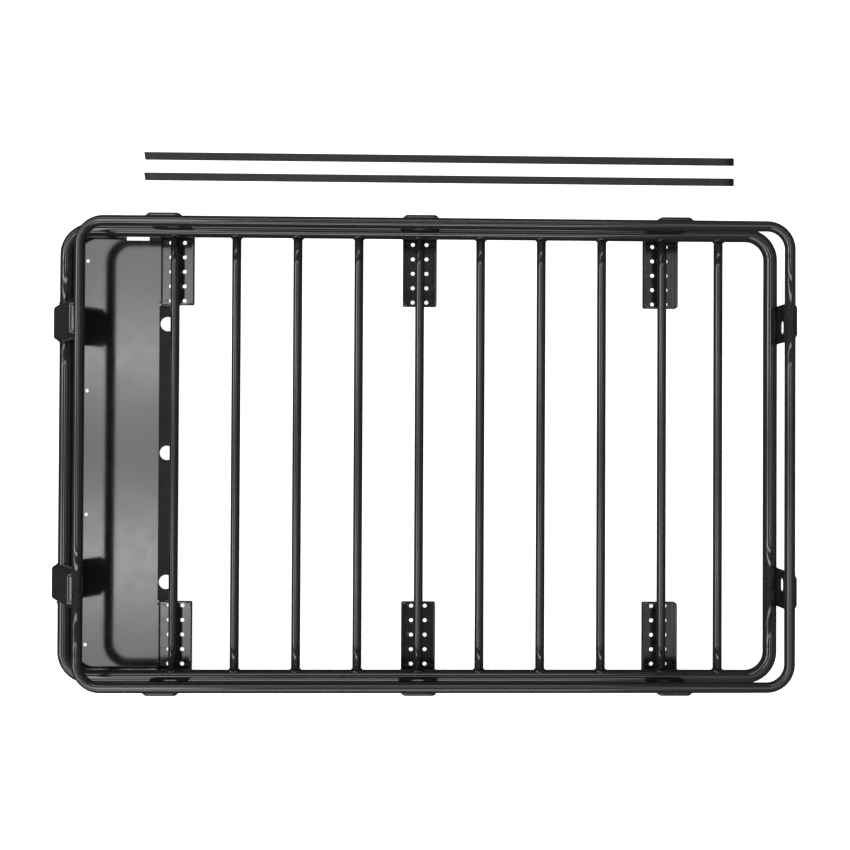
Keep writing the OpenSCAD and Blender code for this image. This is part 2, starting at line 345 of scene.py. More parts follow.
def rail_half_path(tube, bend, seam, side):
    """Centre line of a rail half, from its rear butt weld round the side to the front one."""
    mid = (tube.front + tube.rear) / 2
    reach = (tube.rear - tube.front) / 2
    run = tube.y - bend
    flat = [(reach, seam)]
    flat += arc((reach - bend, run), bend, 0, 90, 20)
    flat += arc((bend - reach, run), bend, 90, 180, 20)
    flat += [(-reach, -seam)]
    return [Vector((mid + side * x, side * y, tube.z)) for x, y in flat]


def split_long_runs(points, longest):
    """Add points on straight runs, so that a long tube keeps even faces."""
    result = [points[0]]
    for one, two in zip(points, points[1:]):
        steps = max(1, round((two - one).length / longest))
        result += [one.lerp(two, k / steps) for k in range(1, steps + 1)]
    return result


def build_rail(level, tube, bend, seam, slot):
    """Two bent halves of a rail. A drawn bend is a little flatter across than along."""
    for word, side in SIDES.items():
        node = level + "_rail_" + word
        path = rail_half_path(tube, bend, seam, side)
        bends = {(round(p.x, 6), round(p.y, 6)) for p in path[1:-1]}
        points = split_long_runs(path, LONGEST_FACE)
        ring = round_section(tube.radius, 56)

        def section(i, points=points, ring=ring, bends=bends):
            p = points[i]
            flat = 0.985 if (round(p.x, 6), round(p.y, 6)) in bends else 1.0
            return [(u * flat, v) for u, v in ring]

        bm = bmesh.new()
        sweep(bm, points, flat_frames(points), section)
        add_piece(node + "_tube", mesh_from(node, bm), "basket", slot, [node])


def rail_side_face(z, tube):
    """How far a rail's round face stands from its centre line at one height."""
    rise = z - tube.z
    return math.sqrt(max(0.0, tube.radius ** 2 - rise ** 2))


def build_cross_bar(number, slot):
    """One bar, coped at both ends to the round of the lower rail."""
    node = "cross_bar_" + str(number)
    x, z = middle(node, 0), middle(node, 2)
    ring = round_section(BAR_RADIUS, 40)
    bm = bmesh.new()
    rings = []
    stations = 16
    stops = [-1 + 2 * k / stations for k in range(stations + 1)]
    for stop in stops:
        row = []
        for u, v in ring:
            end = LOWER.y - rail_side_face(z + v, LOWER)
            row.append(bm.verts.new((x + u, stop * end, z + v)))
        rings.append(row)
    join_rings(bm, rings)
    bore = 0.86
    for row in (rings[0], rings[-1]):
        inner = []
        for v in row:
            centre = Vector((x, v.co.y, z))
            inner.append(bm.verts.new(centre + (v.co - centre) * bore))
        join_rings(bm, [row, inner])
    add_piece(node + "_tube", mesh_from(node, bm), "basket", slot, [node])


# ---- pressed sheet pans ----

def pan_skin(bm, rim, holes, bend, place):
    """Skin of a pressed pan: a flat web, walls turned up along its rim, soft bends between.

    Each rim entry is (corner point, outward normal, wall direction, wall depth), in the
    web's own axes a, b and depth d; an entry without a wall is a bare corner of the web.
    place turns a, b, d into a point of the basket. The skin faces away from its walls.
    """
    web, flat, faces = [], [], []
    before = None
    for (a, b), (na, nb), wall, depth in rim:
        if wall is None:
            web.append(bm.verts.new(place(a, b, 0)))
            flat.append(Vector((a, b, 0)))
            before = None
            continue
        way = Vector(wall).normalized()
        reach = min(bend, depth * 0.8)
        corner = Vector((a, b, 0))
        foot = corner - Vector((na, nb, 0)) * bend
        column = []
        for k in range(6):
            t = k / 5
            column.append(foot * (1 - t) ** 2 + corner * (2 * t * (1 - t)) + (corner + way * reach) * t * t)
        for k in (0.5, 1.0):
            column.append(corner + way * (reach + (depth - reach) * k))
        column = [bm.verts.new(place(*p)) for p in column]
        web.append(column[0])
        flat.append(foot)
        if before:
            for j in range(len(column) - 1):
                faces.append(bm.faces.new((before[j], column[j], column[j + 1], before[j + 1])))
        before = column
    loops = [flat]
    verts = list(web)
    for hole in holes:
        loop = [Vector((a, b, 0)) for a, b in hole]
        loops.append(loop)
        verts += [bm.verts.new(place(p.x, p.y, 0)) for p in loop]
    for tri in tessellate_polygon(loops):
        faces.append(bm.faces.new([verts[i] for i in tri]))
    bmesh.ops.recalc_face_normals(bm, faces=faces)
    inward = place(0, 0, 1) - place(0, 0, 0)
    if faces[-1].normal.dot(inward) > 0:
        bmesh.ops.reverse_faces(bm, faces=faces)


def pan(name, rim, holes, bend, place):
    """Mesh of one pressed pan."""
    bm = bmesh.new()
    pan_skin(bm, rim, holes, bend, place)
    return mesh_from(name, bm, turn=False)


def stadium(a, b, length, width, steps=12):
    """Outline of a slot with round ends, along a."""
    straight = (length - width) / 2
    return (arc((a + straight, b), width / 2, -90, 90, steps)
            + arc((a - straight, b), width / 2, 90, 270, steps))


def circle(a, b, radius, steps=28):
    return arc((a, b), radius, 0, 360 * (steps - 1) / steps, steps - 1)


class Stand:
    """Place of one upright: its foot on a rail, the way out, and the set of the upper tube."""

    def __init__(self, node, foot, out, setting, reach):
        self.node = node
        self.foot = foot
        self.out = out
        self.along = out.cross(UP)
        self.setting = setting
        self.bottom, self.top = span(node, 2)
        self.lean = math.atan2(setting + UPPER.radius - LOWER.radius, UPPER.z - LOWER.z)
        furthest = max((z - LOWER.z) * math.tan(self.lean) for z in (self.bottom, self.top))
        self.clear = reach - LOWER.radius - furthest

    def point(self, a, out, z):
        """Point at a along the rail, out from the lower tube's centre, at a height."""
        p = self.foot + self.along * a + self.out * out
        return Vector((p.x, p.y, z))

    def place(self, a, b, d):
        """Web axes to the basket: b runs up the leaning web, d goes in towards the tubes."""
        out = LOWER.radius + self.clear + b * math.sin(self.lean) - d * math.cos(self.lean)
        z = LOWER.z + b * math.cos(self.lean) + d * math.sin(self.lean)
        if z < self.bottom:
            out += (self.bottom - z) * math.tan(self.lean)
            z = self.bottom
        return self.point(a, out, z)

    def inside_tube(self, p):
        out = (p - self.foot).dot(self.out)
        low = math.hypot(out, p.z - LOWER.z) < LOWER.radius
        high = math.hypot(out - self.setting, p.z - UPPER.z) < UPPER.radius
        return low or high

    def depth_to_tube(self, a, b, wall, most):
        """How deep a wall can go along its direction before it meets a tube."""
        way = Vector(wall).normalized()
        step = 0.2 * MM
        t = 0.6 * MM
        while t < most and not self.inside_tube(self.place(a + way.x * t, b + way.y * t, way.z * t)):
            t += step
        return min(t, most)


def find_stands():
    """Every upright's stand, with sizes taken from its node in the frame."""
    stands = []
    for word, side in SIDES.items():
        for place in PLACES:
            node = "side_upright_" + word + "_" + place
            foot = Vector((middle(node, 0), side * LOWER.y, 0))
            reach = max(abs(v) for v in span(node, 1)) - LOWER.y
            stands.append(Stand(node, foot, Vector((0, side, 0)), UPPER.y - LOWER.y, reach))
        node = "front_upright_" + word
        foot = Vector((LOWER.front, middle(node, 1), 0))
        reach = LOWER.front - span(node, 0)[0]
        stands.append(Stand(node, foot, Vector((-1, 0, 0)), LOWER.front - UPPER.front, reach))
        node = "rear_upright_" + word
        foot = Vector((LOWER.rear, middle(node, 1), 0))
        reach = span(node, 0)[1] - LOWER.rear
        stands.append(Stand(node, foot, Vector((1, 0, 0)), UPPER.rear - LOWER.rear, reach))
    return stands


def upright_rim(stand, shape):
    """Rim of an upright's web: up one side, over the top shelf and down the other side."""
    wide = shape.upright_width / 2
    lean = shape.flange_lean
    cosine = math.cos(stand.lean)
    low = (stand.bottom - LOWER.z) / cosine
    high = (stand.top - LOWER.z) / cosine
    corner = shape.press_corner
    most = stand.clear + shape.flange_lap
    shelf_way = (0, -math.sin(stand.lean), math.cos(stand.lean))
    side_steps, corner_steps, shelf_steps = 36, 8, 16
    rim = []

    def add(a, b, na, nb, way):
        length = Vector(way).length
        unit = tuple(c / length for c in way)
        rim.append(((a, b), (na, nb), unit, stand.depth_to_tube(a, b, unit, most * length)))

    for k in range(side_steps + 1):
        add(-wide, low + (high - corner - low) * k / side_steps, -1, 0, (-lean, 0, 1))
    for k in range(1, corner_steps):
        share = k / corner_steps
        turn = math.radians(180 - 90 * k / corner_steps)
        na, nb = math.cos(turn), math.sin(turn)
        a = -wide + corner + corner * na
        b = high - corner + corner * nb
        way = (-lean * (1 - share), shelf_way[1] * share, 1 - share + shelf_way[2] * share)
        add(a, b, na, nb, way)
    for k in range(shelf_steps + 1):
        a = (-wide + corner) + (2 * wide - 2 * corner) * k / shelf_steps
        add(a, high, 0, 1, shelf_way)
    mirrored = []
    for (a, b), (na, nb), way, depth in reversed(rim[:-(shelf_steps + 1)]):
        mirrored.append(((-a, b), (-na, nb), (-way[0], way[1], way[2]), depth))
    return rim + mirrored


def build_upright(stand, shape, slot):
    """One pressed upright. The side and rear ones have a strap slot."""
    holes = []
    if not stand.node.startswith("front"):
        shift = 0.0
        if stand.node.startswith("rear"):
            shift = math.copysign(shape.slot_inset, stand.foot.y)
        rise = shape.slot_rise / math.cos(stand.lean)
        holes.append(stadium(shift, rise, shape.slot_length, shape.slot_height))
    mesh = pan(stand.node, upright_rim(stand, shape), holes, shape.sheet_bend, stand.place)
    piece = add_piece(stand.node + "_pressing", mesh, "basket", slot, [stand.node])
    sheet_edges(piece, shape.upright_sheet)


def tray_rim(node, shape):
    """Rim of a tray's web: along one side, round the inner lip and back along the other.

    The front side of a front tray stands only as high as the deflector beside it.
    """
    wide = half(node, 0)
    inner = min(abs(v) for v in span(node, 1))
    outer = max(abs(v) for v in span(node, 1))
    high = span(node, 2)[1]
    turn = shape.tray_corner
    relief = shape.tray_relief
    side_steps, corner_steps, lip_steps = 44, 6, 24

    def dip(from_corner):
        """How far a wall's top drops in its rounded inner corner, as a negative height."""
        return math.sqrt(max(0.0, relief ** 2 - (relief - from_corner) ** 2)) - relief

    def wall_height(a, b, side_high):
        height = side_high if a < turn - wide + NEAR and b > inner + NEAR else high
        from_corner = (b - inner) if abs(abs(a) - wide) < NEAR else (wide - abs(a))
        if from_corner < relief:
            height += dip(from_corner)
        if b > LOWER.y - LOWER.radius:
            height = min(height, LOWER.z - math.sqrt(max(0.0, LOWER.radius ** 2 - (b - LOWER.y) ** 2)))
        if b < inner + 2 * MM and abs(a) < BAR_RADIUS:
            height = min(height, LOWER.z - math.sqrt(BAR_RADIUS ** 2 - a ** 2))
        return height

    def half_rim(side_high):
        """From the outer end of the side at low a to the middle of the lip."""
        rim = []
        for k in range(side_steps + 1):
            b = outer + (inner + turn - outer) * k / side_steps
            rim.append(((-wide, b), (-1, 0), UP, wall_height(-wide, b, side_high)))
        for k in range(1, corner_steps):
            angle = math.radians(180 + 90 * k / corner_steps)
            na, nb = math.cos(angle), math.sin(angle)
            a, b = -wide + turn + turn * na, inner + turn + turn * nb
            rim.append(((a, b), (na, nb), UP, (side_high + high) / 2 + dip(turn * 0.5)))
        for k in range(lip_steps + 1):
            a = (-wide + turn) * (1 - k / lip_steps)
            rim.append(((a, inner), (0, -1), UP, wall_height(a, inner, side_high)))
        return rim

    front_side = Panel(shape).under + shape.deflector_sheet if node.endswith("front") else high
    mirrored = [((-a, b), (-na, nb), way, depth)
                for (a, b), (na, nb), way, depth in reversed(half_rim(high)[:-1])]
    return half_rim(front_side) + mirrored


def build_tray(node, side, shape, slot):
    """One drilled mounting tray."""
    x = middle(node, 0)
    inner = min(abs(v) for v in span(node, 1))
    holes = []
    for row in (-1, 1):
        for n in range(5):
            b = inner + shape.hole_start + n * shape.hole_pitch
            holes.append(circle(row * shape.hole_rows / 2, b, shape.tray_hole / 2))

    def place(a, b, d):
        return Vector((x + a, side * b, d))

    mesh = pan(node, tray_rim(node, shape), holes, shape.sheet_bend * 0.8, place)
    piece = add_piece(node + "_pressing", mesh, "basket", slot, [node])
    sheet_edges(piece, shape.tray_sheet)


# ---- wind deflector ----

class Panel:
    """Sizes of the deflector, from its node in the frame and the pieces round it."""

    def __init__(self, shape):
        node = "wind_deflector"
        self.front, self.rear = span(node, 0)
        self.side = span(node, 1)[1]
        self.fold = span("tray_right_front", 0)[0]
        self.under = span(node, 2)[0] + shape.flange_fall
        self.flange = min(abs(v) for v in span("tray_right_front", 1)) - shape.flange_gap
        self.corner = shape.lower_bend - (self.front - LOWER.front)
        self.slope = math.atan2(shape.flange_fall, self.rear - self.fold)

    def wall(self, from_tube):
        """Height of the edge wall that just meets the rail from below."""
        inside = min(abs(from_tube), LOWER.radius)
        return LOWER.z - math.sqrt(LOWER.radius ** 2 - inside ** 2) - self.under - HAIR_GAP


def deflector_rim(panel, shape):
    """Edge of the panel from the right tray forward, round the front and back to the left tray."""
    height = panel.wall(panel.front - LOWER.front)
    notch_rear = panel.fold - shape.notch_gap
    notch_front = notch_rear - shape.notch_length
    notch_in = panel.side - shape.notch_depth
    start_of_bend = panel.front + panel.corner + 2 * MM
    rim = []

    def side_run(start, end, side, steps=8):
        for k in range(steps + 1):
            rim.append(((start + (end - start) * k / steps, side * panel.side), (0, side), UP, height))

    def corner_run(side, start, end):
        centre = (panel.front + panel.corner, side * (panel.side - panel.corner))
        for x, y in arc(centre, panel.corner, start, end, 14):
            away = ((x - centre[0]) / panel.corner, (y - centre[1]) / panel.corner)
            rim.append(((x, y), away, UP, height))

    side_run(panel.fold, notch_rear, 1)
    for x in (notch_rear, notch_front):
        rim.append(((x, notch_in), (0, 0), None, 0))
    side_run(notch_front, start_of_bend, 1)
    corner_run(1, 90, 180)
    corner_run(-1, 180, 270)
    side_run(start_of_bend, panel.fold, -1, 16)
    return rim


def build_deflector(shape, slot):
    """Flat glossy panel with a turned-up edge, a falling rear flange and a lip to the first bar."""
    panel = Panel(shape)
    holes = []
    for side in (-1, 1):
        for y in (shape.rim_hole_inner, shape.rim_hole_inner + shape.rim_hole_pitch):
            holes.append(circle(panel.front + shape.rim_hole_setback, side * y, shape.rim_hole / 2))
    bm = bmesh.new()
    pan_skin(bm, deflector_rim(panel, shape), holes, shape.sheet_bend,
             lambda a, b, d: Vector((a, b, panel.under + d)))

    tip, rise = math.sin(panel.slope), math.cos(panel.slope)
    run = (panel.rear - panel.fold) / rise

    def fall(a, b, d):
        return Vector((panel.fold + a * rise + d * tip, b, panel.under - a * tip + d * rise))

    lip = LOWER.z - BAR_RADIUS - (panel.under - shape.flange_fall) - HAIR_GAP
    rim = [((0, panel.flange), (0, 0), None, 0)]
    lip_steps = 24
    for k in range(lip_steps + 1):
        rim.append(((run, panel.flange * (1 - 2 * k / lip_steps)), (1, 0), (-tip, 0, rise), lip))
    rim.append(((0, -panel.flange), (0, 0), None, 0))
    along = (shape.cable_hole / 2 + shape.cable_margin) / rise
    cables = [circle(along, n * shape.cable_pitch, shape.cable_hole / 2, 40) for n in (-1, 0, 1)]
    pan_skin(bm, rim, cables, shape.sheet_bend * 0.6, fall)
    mesh = mesh_from("wind_deflector", bm, turn=False)
    piece = add_piece("wind_deflector_sheet", mesh, "basket", slot, ["wind_deflector"])
    sheet_edges(piece, shape.deflector_sheet)


def build_deflector_welds(shape, slot):
    """Stitch welds that hold the panel's edge to the underside of the rail."""
    panel = Panel(shape)
    bm = bmesh.new()
    top = panel.under + panel.wall(panel.front - LOWER.front) - 0.5 * MM
    size, inset, wander = 1.5 * MM, 0.6 * MM, 0.9 * MM
    front_pitch, front_length, side_length = 140 * MM, 30 * MM, 26 * MM
    side_passes = (75 * MM, 74.25 * MM)
    for n in range(-3, 4):
        def front(t, n=n):
            y = n * front_pitch + wander * noise.noise(Vector((t * 4, n, 0))) + (t - 0.5) * front_length
            return Vector((panel.front + inset, y, top)), Vector((1, 0, -0.8))
        lay_bead(bm, front, 22, size, n * 2.9)
    for side in (-1, 1):
        for n, back in enumerate(side_passes):
            def flank(t, back=back, side=side):
                x = panel.front + back + (t - 0.5) * side_length
                return Vector((x, side * (panel.side - inset), top)), Vector((0, -side, -0.8))
            lay_bead(bm, flank, 20, size, n + side * 4.3)
    add_piece("wind_deflector_welds", mesh_from("deflector_welds", bm), "basket", slot)


# ---- welds ----

def bar_weld_curve(x, side):
    """Saddle line where a bar meets the lower rail."""
    proud = 0.3 * MM
    ring = BAR_RADIUS + proud

    def curve(t):
        turn = 2 * math.pi * t
        u, v = math.cos(turn), math.sin(turn)
        y = LOWER.y - rail_side_face(LOWER.z + BAR_RADIUS * v, LOWER)
        out = Vector((u, -side * 0.9, v))
        return Vector((x + ring * u, side * (y - proud), LOWER.z + ring * v)), out

    return curve


def build_bar_welds(slot, size):
    """Beads round both ends of every cross bar."""
    for number in range(1, BARS + 1):
        x = middle("cross_bar_" + str(number), 0)
        bm = bmesh.new()
        for side in (-1, 1):
            lay_bead(bm, bar_weld_curve(x, side), 72, size, number * 3.7 + side)
        add_piece("cross_bar_" + str(number) + "_welds", mesh_from("bar_welds", bm), "basket", slot)


def build_butt_welds(shape, slot):
    """Low rings where the rail halves are butted together, ground flush on top."""
    steps = 64
    size, set_in, ground_off = 1.4 * MM, 1.2 * MM, 0.6 * MM
    for level, tube, turned in (("lower", LOWER, -1), ("upper", UPPER, 1)):
        bm = bmesh.new()
        for end, x in ((1, tube.rear), (-1, tube.front)):
            y = turned * end * shape.seam
            points, outs = [], []
            for i in range(steps + 1):
                turn = 2 * math.pi * i / steps
                out = Vector((math.cos(turn), 0, math.sin(turn)))
                sunk = set_in + ground_off * max(0.0, out.z)
                points.append(Vector((x, y, tube.z)) + out * (tube.radius - sunk))
                outs.append(out)
            bead(bm, points, size, 5.1 * end + tube.z * 40, outs, 0.3)
        add_piece(level + "_rail_butt_welds", mesh_from("butt_welds", bm), "basket", slot)


def build_upright_welds(stand, shape, slot):
    """Bead along the shelf and the upper tube, and short beads up each flange."""
    bm = bmesh.new()
    wide = shape.upright_width / 2
    rise = stand.top - UPPER.z
    touch = stand.setting + math.sqrt(UPPER.radius ** 2 - rise ** 2)
    foot = stand.foot
    flange_start, flange_sweep = -42, 88    # degrees round the lower tube

    def shelf(t):
        a = (t * 2 - 1) * (wide + 5 * MM)
        wobble = 0.8 * MM * noise.noise(Vector((a * 160, foot.x * 9, foot.y * 7)))
        place = stand.point(a, touch + 0.7 * MM + wobble, stand.top + 0.2 * MM)
        return place, (UP + stand.out).normalized()

    lay_bead(bm, shelf, 46, 2.1 * MM, foot.x * 17 + foot.y * 5)
    for hand in (-1, 1):
        def flange(t, hand=hand):
            turn = math.radians(flange_start + flange_sweep * t)
            out = LOWER.radius * math.cos(turn)
            z = LOWER.z + LOWER.radius * math.sin(turn)
            base = stand.clear * shape.flange_lean
            a = hand * (wide + base + 1.5 * MM)
            return stand.point(a, out + 0.4 * MM, max(z, stand.bottom)), stand.along * hand
        lay_bead(bm, flange, 24, 1.9 * MM, hand * 2.3 + foot.y * 11)
    add_piece(stand.node + "_welds", mesh_from("upright_welds", bm), "basket", slot)


def build_tray_welds(node, side, slot):
    """Beads where a tray's walls are coped to the rail, and round its saddle under the bar."""
    bm = bmesh.new()
    x, wide = middle(node, 0), half(node, 0)
    inner = min(abs(v) for v in span(node, 1))
    high = span(node, 2)[1]
    start = math.asin(min(1.0, (LOWER.z - high) / LOWER.radius))
    end = math.radians(80)
    stand_off = 0.4 * MM
    saddle_half = 7.5 * MM
    for hand in ((1,) if node.endswith("front") else (-1, 1)):
        def wall(t, hand=hand):
            turn = start + (end - start) * t
            y = LOWER.y - LOWER.radius * math.cos(turn)
            z = LOWER.z - LOWER.radius * math.sin(turn)
            place = Vector((x + hand * (wide + stand_off), side * (y - stand_off), z))
            return place, Vector((hand, -side * 0.5, 0))
        lay_bead(bm, wall, 26, 1.9 * MM, x * 13 + hand)
    sweep_half = math.asin(min(1.0, saddle_half / BAR_RADIUS))

    def saddle(t):
        turn = -sweep_half + 2 * sweep_half * t
        place = Vector((x + BAR_RADIUS * math.sin(turn), side * (inner - stand_off),
                        LOWER.z - BAR_RADIUS * math.cos(turn)))
        return place, Vector((0, -side, 0))

    lay_bead(bm, saddle, 18, 1.7 * MM, x * 7 + side)
    add_piece(node + "_welds", mesh_from("tray_welds", bm), "basket", slot)


# ---- loose strips ----

def build_strip(node, body, slot, skew):
    """Extruded strip: crowned top with fine ribs, soft edges, its front end cut slightly out of square."""
    low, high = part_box(node)
    width, thick = high.y - low.y, high.z - low.z
    mid = (low.y + high.y) / 2
    profile = []
    steps, groove_every = 40, 4
    crown_drop, groove, edge_drop = 0.5 * MM, 0.12 * MM, 1.2 * MM
    edge_share = 0.12
    chamfer_side, chamfer_foot = 1.0 * MM, 0.8 * MM
    for k in range(steps + 1):
        u = -1 + 2 * k / steps
        crown = thick - crown_drop * u * u - (groove if k % groove_every == 0 else 0)
        edge = max(0.0, abs(u) - (1 - edge_share)) / edge_share
        profile.append((u * width / 2, crown - edge_drop * edge ** 2))
    profile += [(width / 2, chamfer_side), (width / 2 - chamfer_foot, 0.0),
                (-width / 2 + chamfer_foot, 0.0), (-width / 2, chamfer_side)]
    bm = bmesh.new()
    stops = 60
    rings = []
    for i in range(stops + 1):
        t = i / stops
        row = []
        for u, z in profile:
            x = low.x + (high.x - low.x) * t
            if i == 0:
                x += skew * (0.5 - u / width)
            row.append(bm.verts.new((x, mid + u, low.z + z)))
        rings.append(row)
    join_rings(bm, rings)
    bm.faces.new(list(reversed(rings[0])))
    bm.faces.new(rings[-1])
    piece = add_piece(node + "_extrusion", mesh_from(node, bm), body, slot, [node])
    even = piece.modifiers.new("Flat faces", "WEIGHTED_NORMAL")
    even.keep_sharp = True


# ---- studio ----

def soft_box(tree, across, along, limits, strength, feather=0.03):
    """Soft-edged bright rectangle in the studio dome. Limits are in slopes from straight up."""
    parts = []
    for value, low, high in ((across, limits[0], limits[1]), (along, limits[2], limits[3])):
        for edge, sign in ((low, 1), (high, -1)):
            node = tree.nodes.new("ShaderNodeMapRange")
            node.interpolation_type = "SMOOTHSTEP"
            node.inputs["From Min"].default_value = edge - feather
            node.inputs["From Max"].default_value = edge + feather
            node.inputs["To Min"].default_value = 0.0 if sign > 0 else 1.0
            node.inputs["To Max"].default_value = 1.0 if sign > 0 else 0.0
            tree.links.new(value, node.inputs["Value"])
            parts.append(node.outputs["Result"])
    level = parts[0]
    for part in parts[1:]:
        level = maths(tree, "MULTIPLY", level, part)
    return maths(tree, "MULTIPLY", level, strength)


def maths(tree, operation, one, two):
    node = tree.nodes.new("ShaderNodeMath")
    node.operation = operation
    for socket, value in zip(node.inputs, (one, two)):
        if hasattr(value, "links"):
            tree.links.new(value, socket)
        else:
            socket.default_value = value
    return node.outputs["Value"]


def level_along(tree, slope, most, stops):
    """Brightness that rises and falls smoothly along one slope. Stops are (slope, level)."""
    spread = tree.nodes.new("ShaderNodeMapRange")
    spread.inputs["From Min"].default_value = -most
    spread.inputs["From Max"].default_value = most
    tree.links.new(slope, spread.inputs["Value"])
    shares = [((at + most) / (2 * most), grey(level)) for at, level in stops]
    colour = ramp(tree, spread.outputs["Result"], shares)
    colour.node.color_ramp.interpolation = "EASE"
    return colour


def build_dome(studio):
    """Studio dome: a dim grey room with soft boxes, laid out by direction from straight up."""
    world = bpy.data.worlds.new("Studio dome")
    world.use_nodes = True
    bpy.context.scene.world = world
    tree = world.node_tree
    background = tree.nodes["Background"]
    where = tree.nodes.new("ShaderNodeTexCoord")
    split = tree.nodes.new("ShaderNodeSeparateXYZ")
    tree.links.new(where.outputs["Generated"], split.inputs["Vector"])
    x, y, z = (split.outputs[c] for c in "XYZ")
    height = maths(tree, "MAXIMUM", z, 0.05)
    slope_x = maths(tree, "DIVIDE", x, height)
    slope_y = maths(tree, "DIVIDE", y, height)
    near_level = level_along(tree, slope_y, 0.3, [
        (-0.30, 0.30), (-0.172, 0.44), (-0.107, 0.97), (-0.085, 0.88), (-0.045, 0.50), (-0.025, 0.39),
        (0.006, 0.43), (0.035, 0.58), (0.066, 1.0), (0.085, 0.74), (0.135, 0.46), (0.30, 0.30)])
    front_level = level_along(tree, slope_y, 0.9, [
        (-0.85, 0.10), (-0.45, 0.50), (-0.30, 0.59), (-0.16, 0.81), (-0.08, 0.40), (-0.02, 0.28),
        (0.05, 0.50), (0.12, 0.95), (0.18, 0.70), (0.25, 0.45), (0.45, 0.50), (0.85, 0.10)])
    # Each box: its slope limits in x and in y, then its strength.
    boxes = [
        ((-0.30, -0.155, -0.35, 0.32), maths(tree, "MULTIPLY", near_level, studio.near_box)),
        ((-1.90, -1.00, -0.90, 0.90), maths(tree, "MULTIPLY", front_level, studio.front_box)),
        ((-2.6, 0.28, 1.00, 1.35), studio.side_box * 0.8),
        ((-2.6, 0.28, -1.55, -1.10), studio.side_box * 1.05),
        ((-2.6, 0.24, -0.58, -0.44), studio.side_box * 0.95),
        ((-2.6, 0.24, 0.20, 0.29), studio.side_box * 0.5),
        ((0.225, 0.40, -0.30, 0.24), studio.side_box * 0.25),
    ]
    total = studio.room
    for limits, strength in boxes:
        total = maths(tree, "ADD", total, soft_box(tree, slope_x, slope_y, limits, strength))
    under_horizon = 0.03
    above = maths(tree, "GREATER_THAN", z, 0.0)
    below = maths(tree, "SUBTRACT", 1.0, above)
    lit = maths(tree, "ADD", maths(tree, "MULTIPLY", total, above),
                maths(tree, "MULTIPLY", below, under_horizon))
    tree.links.new(lit, background.inputs["Strength"])
    background.inputs["Color"].default_value = (0.985, 0.97, 1.0, 1)


def build_floor(studio):
    """Pale studio floor that stays nearly white under the basket."""
    bm = bmesh.new()
    reach, drop = 9, 0.5 * MM
    for x, y in ((-1, -1), (1, -1), (1, 1), (-1, 1)):
        bm.verts.new((x * reach, y * reach, -drop))
    bm.faces.new(bm.verts)
    floor = bpy.data.objects.new("studio_floor", mesh_from("studio_floor", bm))
    bpy.context.scene.collection.objects.link(floor)
    material, tree, shader = new_material("Studio floor")
    shader.inputs["Roughness"].default_value = 0.9
    shader.inputs["Specular IOR Level"].default_value = 0.1
    tone = ramp(tree, noise_map(tree, 1.2, 3), [(0.3, grey(0.86)), (0.7, grey(0.9))])
    tree.links.new(tone, shader.inputs["Base Color"])
    shader.inputs["Emission Color"].default_value = (1, 1, 1, 1)
    shader.inputs["Emission Strength"].default_value = studio.floor_glow
    floor.data.materials.append(material)
    floor.visible_glossy = False


def build_camera(studio):
    """Camera that looks down from above the basket."""
    data = bpy.data.cameras.new("View from above")
    camera = bpy.data.objects.new("View from above", data)
    bpy.context.scene.collection.objects.link(camera)
    data.lens = studio.lens
    data.sensor_width = 36
    data.clip_end = 60
    camera.location = studio.camera_place
    camera.rotation_euler = studio.camera_turn
    bpy.context.scene.camera = camera


# ---- add-on: settings ----

def length(name, text, value):
    """Setting that holds a length."""
    return bpy.props.FloatProperty(name=name, description=text, default=value, unit="LENGTH")


